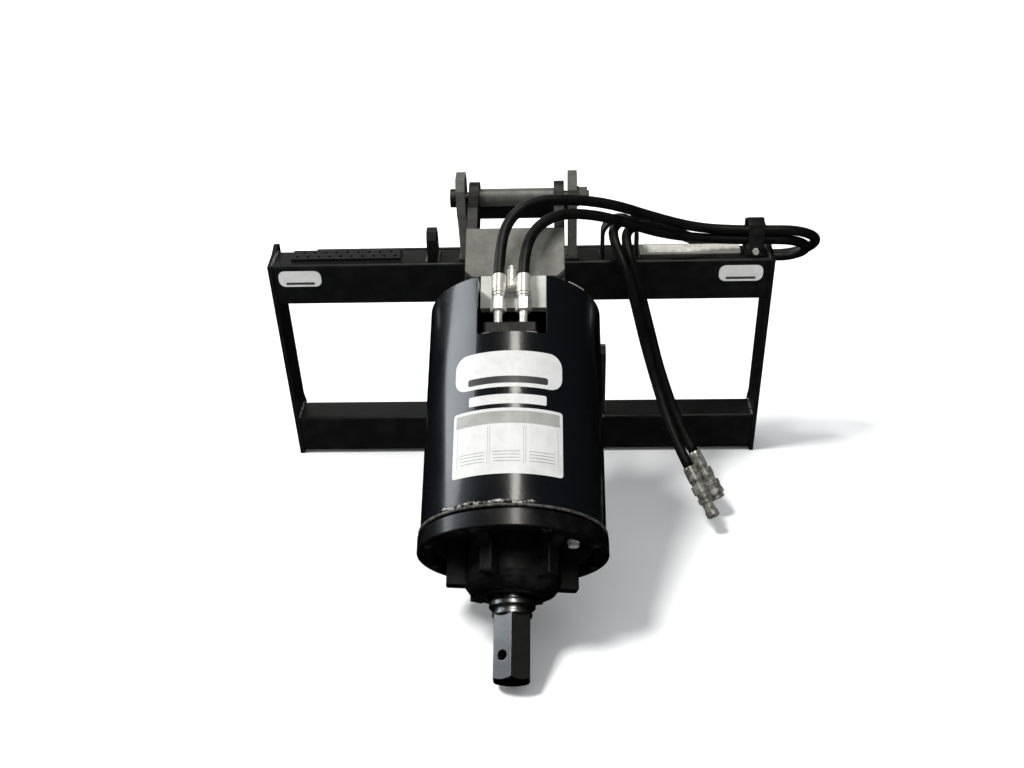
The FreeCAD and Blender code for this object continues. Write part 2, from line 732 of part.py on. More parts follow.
def build_gearbox():
    drive_node("ring_gear", ring_gear())
    drive_node("bearing_carrier", bearing_carrier())
    drive_node("bearing_hub", bearing_hub())
    drive_node("bottom_flange", bottom_flange())
    drive_node("flange_screws", Part.makeCompound(flange_screws()))
    drive_node("oil_seal", oil_seal())
    drive_node("seal_cap", seal_cap())
    drive_node("drain_plug", drain_plug())
    drive_node("output_shaft", output_shaft())
    drive_node("planet_carrier", planet_carrier())
    drive_node("planet_pins", Part.makeCompound(planet_pins()))
    drive_node("sun_gear", spur_gear(SUN_TEETH, GEAR_TOP, GEAR_WIDTH, 15.0))
    for index in range(PLANETS):
        drive_node(f"planet_gear_{index + 1}", planet_gear(index))


def build_bearings():
    """The outer races stay with the housing; the inner races and rollers turn with the shaft."""
    upper, lower = [bearing(*sizes) for sizes in BEARINGS]
    drive_node("bearing_inner_races", Part.makeCompound([upper[0], lower[0]]))
    drive_node("bearing_outer_races", Part.makeCompound([upper[1], lower[1]]))
    drive_node("bearing_rollers", Part.makeCompound(upper[2] + lower[2]))


def build_motor():
    drive_node("motor_end_cover", motor_end_cover())
    drive_node("motor_case", motor_case())
    drive_node("port_block", port_block())
    drive_node("motor_shaft", motor_shaft())
    drive_node("inner_rotor", inner_rotor())
    drive_node("outer_rotor", outer_rotor())


# ---- hoses, fittings and couplers ---------------------------------------------------------
def fittings():
    """Adapters, swivel nuts and crimped sleeves where both hoses join the motor."""
    y = -FITTING_FRONT
    adapters, nuts, sleeves = [], [], []
    for x in FITTING_X:
        adapters.append(fuse(down(8.9, 398, 420, x, y), down(8.0, 369, 402, x, y)))
        nuts.append(fuse(hexagon(27, (x, y, -369), (x, y, -344)), down(11, 336, 344.5, x, y)))
        sleeves.append(fuse(down(14, FITTING_DEPTH + 3, 330, x, y),
                            down(12.5, FITTING_DEPTH, 336, x, y)))
    drive_node("port_adapters", Part.makeCompound(adapters))
    drive_node("swivel_nuts", Part.makeCompound(nuts))
    drive_node("crimp_sleeves", Part.makeCompound(sleeves))


def drive_point(x, depth, front):
    """Point of the drive, given in the upright frame's coordinates."""
    y = PIVOT_Y - depth * math.sin(SWING) - front * math.cos(SWING)
    z = PIVOT_Z - depth * math.cos(SWING) + front * math.sin(SWING)
    return (x, y, z)


HOSE_A_ROUTE = [
    drive_point(-27, FITTING_DEPTH, FITTING_FRONT), drive_point(-27, 245, FITTING_FRONT),
    (-16, -188, 725), (36, -128, 742), (118, -92, 727), (206, -50, 694), (300, -6, 640),
    (398, 26, 597), (500, 30, 588), (560, 31, 587), (622, 34, 584), (677, 71, 547),
    (677, 124, 494), (622, 161, 456), (538, 167, 462), (440, 164, 484), (340, 154, 530),
    (256, 118, 580), (213, 56, 592), (210, -12, 590), (235, -64, 549), (258, -90, 470),
    (278, -118, 390), (303, -160, 312), (336, -247, 231), (369, -304, 185),
]
HOSE_B_ROUTE = [
    drive_point(21, FITTING_DEPTH, FITTING_FRONT), drive_point(21, 245, FITTING_FRONT),
    (38, -184, 705), (88, -128, 712), (158, -88, 690), (226, -46, 652), (308, -8, 604),
    (402, 24, 573), (500, 30, 565), (556, 31, 564), (612, 33, 561), (654, 60, 533),
    (654, 100, 494), (612, 128, 467), (532, 138, 474), (440, 140, 500), (352, 126, 544),
    (280, 98, 574), (243, 50, 583), (238, -12, 580), (252, -42, 545), (274, -62, 468),
    (295, -86, 390), (316, -120, 314), (354, -180, 219), (388, -234, 172),
]


def hose(points, name):
    """Tube along straight runs joined by arcs as large as the runs allow."""
    points = [Vector(*p) for p in points]
    edges, radii = [], []
    last = points[0]
    for before, corner, after in zip(points, points[1:], points[2:]):
        run_in, run_out = corner - before, after - corner
        half_turn = run_in.getAngle(run_out) / 2
        reach = 0.45 * min(run_in.Length, run_out.Length)
        radius = reach / math.tan(half_turn)
        run_in.normalize()
        run_out.normalize()
        start = corner - run_in * reach
        end = corner + run_out * reach
        bisector = (run_out - run_in).normalize()
        middle = corner + bisector * (radius / math.cos(half_turn) - radius)
        edges.append(Part.LineSegment(last, start).toShape())
        edges.append(Part.Arc(start, middle, end).toShape())
        radii.append(round(radius))
        last = end
    edges.append(Part.LineSegment(last, points[-1]).toShape())
    path = Part.Wire(edges)
    circle = Part.Circle(points[0], points[1] - points[0], HOSE_RADIUS)
    solid = path.makePipeShell([Part.Wire(circle.toShape())], True, True)
    ratio = solid.Volume / (math.pi * HOSE_RADIUS ** 2 * path.Length)
    print(name, "length", round(path.Length), "radii", radii, "volume ratio", round(ratio, 4))
    return solid


def coupler_end(route):
    """End of a hose and the direction it leaves in."""
    tip, before = Vector(*route[-1]), Vector(*route[-2])
    return tip, (tip - before).normalize()


def coupler_piece(route, profile):
    """Turned piece on a hose's end, from (radius, distance past the hose end) points."""
    tip, direction = coupler_end(route)
    path = [Vector(r, 0, s) for r, s in profile]
    solid = Part.Face(Part.makePolygon(path + [path[0]])).revolve(ORIGIN, Z_AXIS, 360)
    solid.Placement = FreeCAD.Placement(tip, FreeCAD.Rotation(Z_AXIS, direction))
    return solid


def build_hoses():
    fittings()
    frame_node("hose_a", hose(HOSE_A_ROUTE, "hose_a"), True)
    frame_node("hose_b", hose(HOSE_B_ROUTE, "hose_b"), True)
    sleeve = [(0, 0), (13, 0), (14.5, 4), (14.5, 34), (12.5, 38), (12.5, 44), (0, 44)]
    crimps = [coupler_piece(route, sleeve) for route in (HOSE_A_ROUTE, HOSE_B_ROUTE)]
    frame_node("coupler_crimps", Part.makeCompound(crimps), True)
    plug = [(0, 44), (17, 44), (17, 62), (13, 64), (13, 72), (16, 74), (16, 84), (12, 88),
            (12, 104), (14, 106), (14, 116), (11.8, 120), (7, 120), (7, 118), (0, 118)]
    frame_node("coupler_plug", coupler_piece(HOSE_A_ROUTE, plug), True)
    body = [(0, 44), (18, 44), (18, 62), (15.5, 64), (15.5, 116), (12, 116), (12, 76), (0, 76)]
    frame_node("coupler_socket", coupler_piece(HOSE_B_ROUTE, body), True)
    ring = [(15.6, 74), (20, 76), (20, 84), (18.6, 86), (18.6, 96), (20, 98), (20, 106),
            (15.6, 108)]
    frame_node("coupler_sleeve", coupler_piece(HOSE_B_ROUTE, ring), True)
    valve = [(0, 92.2), (6, 92.2), (6, 108), (11.6, 108), (11.6, 115), (0, 115)]
    frame_node("coupler_poppet", coupler_piece(HOSE_B_ROUTE, valve), True)


# ---- put together and write ---------------------------------------------------------------
def main():
    build_frame()
    build_housing()
    build_motor()
    build_gearbox()
    build_bearings()
    drive_node("motor_screws", Part.makeCompound(motor_screws()))
    drive_node("retaining_nut", retaining_nut())
    build_hoses()

    firm = [shape for name, shape in nodes.items() if name not in cord_names]
    bounds = Part.makeCompound(firm).BoundBox
    shift = Vector(-(bounds.XMin + bounds.XMax) / 2, -(bounds.YMin + bounds.YMax) / 2,
                   -bounds.ZMin)
    os.makedirs("parts", exist_ok=True)
    for name, shape in nodes.items():
        shape.translate(shift)
        shape.exportStep(f"parts/{name}.step")
        if not shape.isValid():
            print("not valid:", name)
    pivot = FreeCAD.Rotation(X_AXIS, LEAN).multVec(Vector(0, PIVOT_Y, PIVOT_Z)) + shift
    print("nodes", len(nodes), "lean", round(LEAN, 3), "shift", tuple(round(v, 3) for v in shift),
          "pivot", tuple(round(v, 3) for v in pivot))


main()
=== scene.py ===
import json
import math
import random

import bpy
from mathutils import Matrix, Vector


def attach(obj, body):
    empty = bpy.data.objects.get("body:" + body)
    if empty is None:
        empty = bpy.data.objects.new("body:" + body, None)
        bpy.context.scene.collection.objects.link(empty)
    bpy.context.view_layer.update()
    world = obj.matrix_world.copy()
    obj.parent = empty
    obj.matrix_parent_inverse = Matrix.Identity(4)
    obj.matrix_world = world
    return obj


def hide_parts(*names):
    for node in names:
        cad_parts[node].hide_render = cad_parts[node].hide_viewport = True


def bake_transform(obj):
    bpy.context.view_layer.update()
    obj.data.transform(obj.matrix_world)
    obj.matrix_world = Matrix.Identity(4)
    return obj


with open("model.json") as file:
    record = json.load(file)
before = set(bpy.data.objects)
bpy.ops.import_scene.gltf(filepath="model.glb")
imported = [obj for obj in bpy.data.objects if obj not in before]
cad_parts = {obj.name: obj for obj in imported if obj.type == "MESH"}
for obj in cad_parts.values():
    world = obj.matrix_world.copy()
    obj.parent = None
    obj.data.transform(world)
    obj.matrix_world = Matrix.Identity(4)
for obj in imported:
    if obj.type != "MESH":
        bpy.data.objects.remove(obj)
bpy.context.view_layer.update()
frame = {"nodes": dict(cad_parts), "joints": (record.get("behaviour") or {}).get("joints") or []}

nodes = frame["nodes"]
MM = 0.001

# ---- the object's two working frames ------------------------------------------------------
# Frame pieces are placed with the frame upright (x across, y = 0 its front, z up from the
# underside of the lower rail). Drive pieces are placed by x, depth along the drive from the
# swing pin, and height towards the drive's front.
LEAN = math.radians(11.07)
DRIVE_TILT = math.radians(61.8) - LEAN
PIN_ON_FRAME = Vector((0, 0.010, 0.686))
PIN = Vector(next(j for j in frame["joints"] if j["name"] == "drive_swing")["pos_m"])
FRAME_TURN = Matrix.Rotation(LEAN, 3, "X")
DOWN_DRIVE = Vector((0, -math.sin(DRIVE_TILT), -math.cos(DRIVE_TILT)))
DRIVE_FRONT = Vector((0, -math.cos(DRIVE_TILT), math.sin(DRIVE_TILT)))
HOUSING_RADIUS = 171.5


def on_frame(x, y, z):
    """Point given in millimetres on the upright frame."""
    return PIN + FRAME_TURN @ (Vector((x, y, z)) * MM - PIN_ON_FRAME)


def on_drive(x, depth, front):
    """Point given in millimetres on the drive."""
    return PIN + Vector((x * MM, 0, 0)) + DOWN_DRIVE * depth * MM + DRIVE_FRONT * front * MM


def round_drive(angle, depth, radius):
    """Point on a circle round the drive's axis; angle in degrees from its front."""
    turn = math.radians(angle)
    return on_drive(radius * math.sin(turn), depth, radius * math.cos(turn))


# ---- camera -------------------------------------------------------------------------------
def add_camera():
    data = bpy.data.cameras.new("camera")
    data.lens = 37.79
    data.clip_end = 100
    camera = bpy.data.objects.new("camera", data)
    bpy.context.collection.objects.link(camera)
    forward = Vector((-0.04261, 0.91521, -0.40072)).normalized()
    right = Vector((0.99905, 0.03526, -0.02571))
    right = (right - forward * right.dot(forward)).normalized()
    up = right.cross(forward)
    turn = Matrix((right, up, -forward)).transposed()
    camera.matrix_world = Matrix.Translation((0.085, -2.0094, 1.2457)) @ turn.to_4x4()
    bpy.context.scene.camera = camera


# ---- mesh helpers -------------------------------------------------------------------------
def add_mesh(name, points, faces, material, smooth=True):
    """New mesh piece in one material."""
    mesh = bpy.data.meshes.new(name)
    mesh.from_pydata([tuple(p) for p in points], [], faces)
    mesh.update()
    mesh.polygons.foreach_set("use_smooth", [smooth] * len(mesh.polygons))
    piece = bpy.data.objects.new(name, mesh)
    bpy.context.collection.objects.link(piece)
    piece.data.materials.append(material)
    return piece


def finish_piece(piece, body):
    """Let a piece ride on a body."""
    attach(piece, body)


def side_vectors(path):
    """Two vectors square to the path at each of its points, without twist."""
    pairs = []
    side = None
    for index in range(len(path)):
        ahead = path[min(index + 1, len(path) - 1)] - path[max(index - 1, 0)]
        ahead.normalize()
        if side is None:
            side = ahead.orthogonal().normalized()
        side = (side - ahead * side.dot(ahead)).normalized()
        pairs.append((side, ahead.cross(side)))
    return pairs


def tube_mesh(name, path, radii, sides, material):
    """Closed round tube along a path, with the path's length and its turn kept as UVs."""
    points, faces, lengths = [], [], [0.0]
    for before, after in zip(path, path[1:]):
        lengths.append(lengths[-1] + (after - before).length)
    for point, radius, (side, other) in zip(path, radii, side_vectors(path)):
        for step in range(sides):
            angle = 2 * math.pi * step / sides
            points.append(point + (side * math.cos(angle) + other * math.sin(angle)) * radius)
    for ring in range(len(path) - 1):
        for step in range(sides):
            near = ring * sides + step
            far = ring * sides + (step + 1) % sides
            faces.append((near, far, far + sides, near + sides))
    points += [path[0], path[-1]]
    last_ring = (len(path) - 1) * sides
    for step in range(sides):
        following = (step + 1) % sides
        faces.append((following, step, len(points) - 2))
        faces.append((last_ring + step, last_ring + following, len(points) - 1))
    piece = add_mesh(name, points, faces, material)
    layer = piece.data.uv_layers.new(name="along")
    for polygon in piece.data.polygons:
        steps = [v % sides for v in polygon.vertices]
        wraps = max(steps) - min(steps) > sides / 2
        for loop, vertex in zip(polygon.loop_indices, polygon.vertices):
            step = vertex % sides
            if wraps and step == 0:
                step = sides
            ring = min(vertex // sides, len(path) - 1)
            layer.data[loop].uv = (step / sides, lengths[ring])
    return piece


# ---- materials ----------------------------------------------------------------------------
class Surface:
    """A material built up node by node round one principled shader."""

    def __init__(self, name, colour, roughness, metallic=0.0, specular=0.5, coat=0.0,
                 coat_roughness=0.1):
        self.material = bpy.data.materials.new(name)
        self.material.use_nodes = True
        self.tree = self.material.node_tree
        self.shader = self.tree.nodes["Principled BSDF"]
        self.set(self.shader, "Base Color", (*colour, 1))
        self.set(self.shader, "Roughness", roughness)
        self.set(self.shader, "Metallic", metallic)
        self.set(self.shader, "Specular IOR Level", specular)
        self.set(self.shader, "Coat Weight", coat)
        self.set(self.shader, "Coat Roughness", coat_roughness)
        self.coordinates = self.tree.nodes.new("ShaderNodeTexCoord")
        self.normal = None

    def set(self, node, socket, value):
        node.inputs[socket].default_value = value

    def join(self, source, node, socket):
        self.tree.links.new(source, node.inputs[socket])

    def noise(self, scale, detail=4.0, roughness=0.6, stretch=(1, 1, 1), space="Object"):
        mapping = self.tree.nodes.new("ShaderNodeMapping")
        self.set(mapping, "Scale", stretch)
        texture = self.tree.nodes.new("ShaderNodeTexNoise")
        self.set(texture, "Scale", scale)
        self.set(texture, "Detail", detail)
        self.set(texture, "Roughness", roughness)
        self.join(self.coordinates.outputs[space], mapping, "Vector")
        self.join(mapping.outputs["Vector"], texture, "Vector")
        return texture.outputs["Fac"]

    def remap(self, source, low, high, to_low, to_high):
        node = self.tree.nodes.new("ShaderNodeMapRange")
        for socket, value in (("From Min", low), ("From Max", high),
                              ("To Min", to_low), ("To Max", to_high)):
            self.set(node, socket, value)
        self.join(source, node, "Value")
        return node.outputs["Result"]

    def vary_roughness(self, source, low, high, to_low, to_high):
        self.join(self.remap(source, low, high, to_low, to_high), self.shader, "Roughness")

    def vary_colour(self, source, low, high, dark, light):
        node = self.tree.nodes.new("ShaderNodeMix")
        node.data_type = "RGBA"
        node.inputs[6].default_value = (*dark, 1)
        node.inputs[7].default_value = (*light, 1)
        self.join(self.remap(source, low, high, 0, 1), node, 0)
        self.join(node.outputs[2], self.shader, "Base Color")

    def round_edges(self, radius):
        node = self.tree.nodes.new("ShaderNodeBevel")
        node.samples = 4
        self.set(node, "Radius", radius)
        self.normal = node.outputs["Normal"]
        self.join(self.normal, self.shader, "Normal")

    def bump(self, source, distance, strength=1.0, coat=False):
        node = self.tree.nodes.new("ShaderNodeBump")
        self.set(node, "Strength", strength)
        self.set(node, "Distance", distance)
        self.join(source, node, "Height")
        if self.normal is not None:
            self.join(self.normal, node, "Normal")
        self.normal = node.outputs["Normal"]
        self.join(self.normal, self.shader, "Normal")
        if coat:
            self.join(self.normal, self.shader, "Coat Normal")


def frame_paint():
    """Black powder coat with fine orange peel and dusty patches."""
    surface = Surface("frame_paint", (0.006, 0.0065, 0.0075), 0.40, specular=0.6)
    surface.round_edges(0.0022)
    surface.vary_roughness(surface.noise(9), 0.35, 0.7, 0.34, 0.52)
    surface.vary_colour(surface.noise(34, 6), 0.45, 0.75, (0.0038, 0.0041, 0.0044),
                        (0.0085, 0.0088, 0.0094))
    surface.bump(surface.noise(620, 2), 0.00012, 0.7)
    return surface.material


def hanger_painted_sheen():
    """The hanger plate and swing pin tube: the same black coat, painted a lighter olive grey as
    painted sheen for the overhead light they reflect.
    """
    surface = Surface("hanger_painted_sheen", (0.07, 0.07, 0.062), 0.38, specular=0.4)
    surface.round_edges(0.0022)
    surface.vary_roughness(surface.noise(14), 0.3, 0.7, 0.30, 0.46)
    # Painted sheen: lighter olive grey in random patches stands in for the light off the upturned
    # faces.
    surface.vary_colour(surface.noise(40, 6), 0.4, 0.75, (0.075, 0.075, 0.064),
                        (0.120, 0.118, 0.100))
    surface.bump(surface.noise(500, 2), 0.00010, 0.6)
    return surface.material


def arm_paint():
    """The arms beside the plate: darker, glossier, with scuffed edges."""
    surface = Surface("arm_paint", (0.012, 0.012, 0.012), 0.45, specular=0.35)
    surface.round_edges(0.0030)
    surface.vary_roughness(surface.noise(14), 0.3, 0.7, 0.38, 0.56)
    surface.vary_colour(surface.noise(40, 6), 0.45, 0.8, (0.006, 0.006, 0.006),
                        (0.022, 0.021, 0.018))
    surface.bump(surface.noise(420, 3), 0.00014, 0.6)
    return surface.material


def housing_paint():
    """Gloss black enamel over rolled tube."""
    surface = Surface("housing_paint", (0.0036, 0.0042, 0.0052), 0.22, specular=0.5, coat=0.5,
                      coat_roughness=0.10)
    surface.round_edges(0.0012)
    surface.vary_roughness(surface.noise(11, 5), 0.3, 0.75, 0.16, 0.30)
    surface.bump(surface.noise(160, 3, stretch=(1, 1, 0.3)), 0.00018, 0.5, coat=True)
    return surface.material


def flange_paint():
    """Thick glossy coat over the turned flange."""
    surface = Surface("flange_paint", (0.003, 0.003, 0.0035), 0.30, specular=0.5, coat=0.3,
                      coat_roughness=0.14)
    surface.round_edges(0.0020)
    surface.vary_roughness(surface.noise(16, 5), 0.3, 0.7, 0.24, 0.42)
    surface.vary_colour(surface.noise(50, 6), 0.55, 0.8, (0.0025, 0.0025, 0.003),
                        (0.012, 0.0115, 0.010))
    surface.bump(surface.noise(90, 4), 0.00025, 0.6)
    return surface.material


def cast_paint():
    """Black paint over a rough casting."""
    surface = Surface("cast_paint", (0.008, 0.008, 0.009), 0.50, specular=0.35)
    surface.round_edges(0.003)
    surface.vary_roughness(surface.noise(45), 0.3, 0.7, 0.40, 0.62)
    surface.vary_colour(surface.noise(22, 7), 0.5, 0.8, (0.0025, 0.0025, 0.003),
                        (0.013, 0.0125, 0.011))
    surface.bump(surface.noise(230, 6, 0.7), 0.0007, 0.7)
    return surface.material


def ground_steel():
    """Ground steel shaft, with fine lines across it."""
    surface = Surface("ground_steel", (0.55, 0.56, 0.57), 0.3, metallic=1.0)
    surface.round_edges(0.0015)
    lines = surface.noise(90, 3, stretch=(0.5, 9, 9))
    surface.vary_roughness(lines, 0.3, 0.7, 0.26, 0.44)
    surface.vary_colour(surface.noise(17, 5), 0.35, 0.7, (0.48, 0.49, 0.50), (0.62, 0.627, 0.635))
    surface.bump(lines, 0.00006, 0.5)
    return surface.material


def zinc():
    """Bright zinc plating with a faint yellow tint."""
    surface = Surface("zinc", (0.80, 0.78, 0.71), 0.28, metallic=0.6)
    surface.round_edges(0.0009)
    surface.vary_roughness(surface.noise(80), 0.3, 0.7, 0.20, 0.38)
    surface.vary_colour(surface.noise(60, 5), 0.35, 0.7, (0.66, 0.64, 0.56), (0.88, 0.87, 0.82))
    surface.bump(surface.noise(900, 2), 0.00004, 0.5)
    return surface.material


def worn_zinc():
    """Zinc plating dulled by handling, with dark oily patches."""
    surface = Surface("worn_zinc", (0.36, 0.35, 0.31), 0.3, metallic=0.75)
    surface.round_edges(0.0009)
    surface.vary_roughness(surface.noise(80), 0.3, 0.7, 0.22, 0.42)
    surface.vary_colour(surface.noise(70, 6), 0.38, 0.62, (0.14, 0.135, 0.115),
                        (0.66, 0.65, 0.59))
    surface.bump(surface.noise(900, 2), 0.00004, 0.5)
    return surface.material


def machined_steel():
    """Oily machined steel of the works inside."""
    surface = Surface("machined_steel", (0.30, 0.30, 0.31), 0.32, metallic=1.0)
    surface.vary_roughness(surface.noise(120), 0.3, 0.7, 0.24, 0.44)
    surface.vary_colour(surface.noise(35, 5), 0.35, 0.7, (0.22, 0.22, 0.23), (0.36, 0.36, 0.36))
    return surface.material


def guard_painted_sheen():
    """The plate behind the fittings: the black coat painted a light grey-green, a painted sheen
    for the overhead light it reflects.
    """
    # Painted sheen: the pale grey-green tones stand in for reflected overhead light.
    surface = Surface("guard_painted_sheen", (0.48, 0.49, 0.44), 0.42, specular=0.5)
    surface.round_edges(0.0012)
    surface.vary_roughness(surface.noise(20), 0.3, 0.7, 0.36, 0.52)
    surface.vary_colour(surface.noise(26, 5), 0.35, 0.7, (0.42, 0.43, 0.38), (0.54, 0.55, 0.50))
    surface.bump(surface.noise(700, 2), 0.00006, 0.5)
    return surface.material


def hose_rubber():
    """Hose cover: black rubber with the print of its cloth wrap running round it."""
    surface = Surface("hose_rubber", (0.003, 0.003, 0.003), 0.38, specular=0.4)
    wrap = surface.tree.nodes.new("ShaderNodeTexWave")
    wrap.bands_direction = "Y"
    surface.set(wrap, "Scale", 110.0)
    surface.set(wrap, "Distortion", 1.6)
    surface.join(surface.coordinates.outputs["UV"], wrap, "Vector")
    surface.vary_roughness(surface.noise(50), 0.3, 0.7, 0.34, 0.52)
    surface.vary_colour(surface.noise(30, 5), 0.35, 0.7, (0.0022, 0.0022, 0.0022),
                        (0.0060, 0.0058, 0.0055))
    surface.bump(wrap.outputs["Fac"], 0.00022, 0.5)
    surface.bump(surface.noise(900, 2), 0.0001, 0.5)
    return surface.material


def seal_rubber():
    """Plain black rubber."""
    surface = Surface("seal_rubber", (0.012, 0.012, 0.012), 0.6, specular=0.4)
    surface.bump(surface.noise(700, 2), 0.0001, 0.5)
    return surface.material


def weld_metal():
    """Painted weld bead, shiny where its ripples stand up."""
    surface = Surface("weld_metal", (0.05, 0.05, 0.048), 0.28, metallic=0.25, specular=0.8)
    surface.vary_roughness(surface.noise(140), 0.3, 0.7, 0.20, 0.42)
    surface.vary_colour(surface.noise(90, 5), 0.4, 0.7, (0.03, 0.03, 0.03), (0.16, 0.15, 0.13))
    surface.bump(surface.noise(500, 4), 0.0003, 0.8)
    return surface.material


def bare_weld():
    """Weld left half bare: bright ripples and spatter in dark flux."""
    surface = Surface("bare_weld", (0.25, 0.25, 0.24), 0.3, metallic=0.5, specular=0.8)
    surface.vary_roughness(surface.noise(160), 0.3, 0.7, 0.22, 0.45)
    surface.vary_colour(surface.noise(120, 6, 0.7), 0.47, 0.62, (0.012, 0.012, 0.012),
                        (0.52, 0.51, 0.47))
    surface.bump(surface.noise(300, 5), 0.0006, 0.9)
    return surface.material


def label_ink(name, light, dark):
    """Printed vinyl with faint soiling."""
    surface = Surface(name, light, 0.4, specular=0.4)
    surface.vary_colour(surface.noise(38, 5), 0.45, 0.85, light, dark)
    surface.vary_roughness(surface.noise(60), 0.3, 0.7, 0.34, 0.48)
    return surface.material


def strip_vinyl():
    """Worn pale strip on the top rail."""
    surface = Surface("strip_vinyl", (0.52, 0.51, 0.44), 0.5, specular=0.4)
    surface.round_edges(0.0008)
    surface.vary_colour(surface.noise(18, 6), 0.4, 0.75, (0.56, 0.55, 0.48), (0.36, 0.35, 0.30))
    surface.bump(surface.noise(400, 3), 0.0002, 0.6)
    return surface.material


def floor_paper():
    """Matt pale backdrop paper."""
    surface = Surface("floor_paper", (0.86, 0.86, 0.85), 0.9, specular=0.1)
    surface.vary_colour(surface.noise(3, 3), 0.3, 0.7, (0.85, 0.85, 0.84), (0.88, 0.88, 0.87))
    return surface.material


def make_materials():
    """All materials, by the names that the finishes use."""
    makers = (frame_paint, hanger_painted_sheen, housing_paint, cast_paint, ground_steel, zinc,
              machined_steel, guard_painted_sheen, hose_rubber, seal_rubber, weld_metal, bare_weld,
              strip_vinyl, floor_paper, arm_paint, flange_paint, worn_zinc)
    made = {maker.__name__: maker() for maker in makers}
    made["white"] = label_ink("label_white", (0.56, 0.56, 0.545), (0.45, 0.44, 0.41))
    made["grey"] = label_ink("label_grey", (0.30, 0.30, 0.28), (0.22, 0.22, 0.20))
    made["dark"] = label_ink("label_dark", (0.03, 0.03, 0.032), (0.05, 0.05, 0.05))
    return made


# ---- hoses --------------------------------------------------------------------------------
HOSE_DIAMETER = 0.022
FITTING_DEPTH = 289
FITTING_FRONT = 135
HOSE_A_STARTS = [(-27, FITTING_DEPTH, FITTING_FRONT), (-27, 245, FITTING_FRONT)]
HOSE_A_ROUTE = [
    (-16, -188, 725), (36, -128, 742), (118, -92, 727), (206, -50, 694), (300, -6, 640),
    (398, 26, 597), (500, 30, 588), (560, 31, 587), (622, 34, 584), (677, 71, 547),
    (677, 124, 494), (622, 161, 456), (538, 167, 462), (440, 164, 484), (340, 154, 530),
    (256, 118, 580), (213, 56, 592), (210, -12, 590), (235, -64, 549), (258, -90, 470),
    (278, -118, 390), (303, -160, 312), (336, -247, 231), (369, -304, 185),
]
HOSE_B_STARTS = [(21, FITTING_DEPTH, FITTING_FRONT), (21, 245, FITTING_FRONT)]
HOSE_B_ROUTE = [
    (38, -184, 705), (88, -128, 712), (158, -88, 690), (226, -46, 652), (308, -8, 604),
    (402, 24, 573), (500, 30, 565), (556, 31, 564), (612, 33, 561), (654, 60, 533),
    (654, 100, 494), (612, 128, 467), (532, 138, 474), (440, 140, 500), (352, 126, 544),
    (280, 98, 574), (243, 50, 583), (238, -12, 580), (252, -42, 545), (274, -62, 468),
    (295, -86, 390), (316, -120, 314), (354, -180, 219), (388, -234, 172),
]


def spline_line(name, points):
    """Points along the smooth NURBS line whose control points are given."""
    curve = bpy.data.curves.new(name + "_line", "CURVE")
    curve.dimensions = "3D"
    spline = curve.splines.new("NURBS")
    spline.points.add(len(points) - 1)
    for target, point in zip(spline.points, points):
        target.co = (*point, 1)
    spline.order_u = 3
    spline.use_endpoint_u = True
    spline.resolution_u = 12
    holder = bpy.data.objects.new(name + "_line", curve)
    bpy.context.collection.objects.link(holder)
    bpy.context.view_layer.update()
    line = bpy.data.meshes.new_from_object(holder)
    path = [Vector(v.co) for v in line.vertices]
    bpy.data.objects.remove(holder)
    bpy.data.curves.remove(curve)
    bpy.data.meshes.remove(line)
    return path


def add_hose(name, starts, route, material):
    control = [on_drive(*p) for p in starts] + [on_frame(*p) for p in route]
    path = spline_line(name, control)
    hose = tube_mesh(name + "_cover", path, [HOSE_DIAMETER / 2] * len(path), 20, material)
    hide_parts(name)
    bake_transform(hose)
    tuple(control[0])


def add_hoses(made):
    add_hose("hose_a", HOSE_A_STARTS, HOSE_A_ROUTE,
             made["hose_rubber"])
    add_hose("hose_b", HOSE_B_STARTS, HOSE_B_ROUTE,
             made["hose_rubber"])


# ---- finishes of the CAD pieces -----------------------------------------------------------
FINISHES = {
    # The pivot towers share this painted sheen, standing in for the light on their front faces.
    "hanger_painted_sheen": ("hanger_plate", "pivot_tube", "pivot_towers"),
    "arm_paint": ("hanger_arms", "cradle_cheeks", "hose_hook", "hose_clamp"),
    "housing_paint": ("housing_shell", "top_cap"),
    "cast_paint": ("bearing_hub", "seal_cap", "motor_case", "motor_end_cover", "port_block"),
    "flange_paint": ("bottom_flange",),
    "ground_steel": ("output_shaft",),
    "zinc": ("port_adapters", "swivel_nuts", "crimp_sleeves", "clamp_bolt", "relief_valve",
             "motor_screws", "flange_screws", "drain_plug"),
    "worn_zinc": ("coupler_plug", "coupler_socket", "coupler_sleeve", "coupler_poppet",
                  "coupler_crimps"),
    "machined_steel": ("planet_gear_1", "planet_gear_2", "planet_gear_3", "sun_gear",
                       "ring_gear", "planet_carrier", "planet_pins", "inner_rotor",
                       "outer_rotor", "motor_shaft", "bearing_inner_races",
                       "bearing_outer_races", "bearing_rollers", "retaining_nut",
                       "bearing_carrier"),
    "guard_painted_sheen": ("port_guard",),
    "seal_rubber": ("oil_seal",),
    "strip_vinyl": ("rail_strip",),
}


def finish_cad(made):
    """Give every CAD node its material; frame paint where FINISHES names none."""
    finish_of = {node: finish for finish, names in FINISHES.items() for node in names}
    for name, piece in nodes.items():
        material = made[finish_of.get(name, "frame_paint")]
        if not piece.material_slots:
            piece.data.materials.append(material)
        for holder in piece.material_slots:
            holder.link = "OBJECT"
            holder.material = material


# ---- welds --------------------------------------------------------------------------------
BEAD = 0.0045


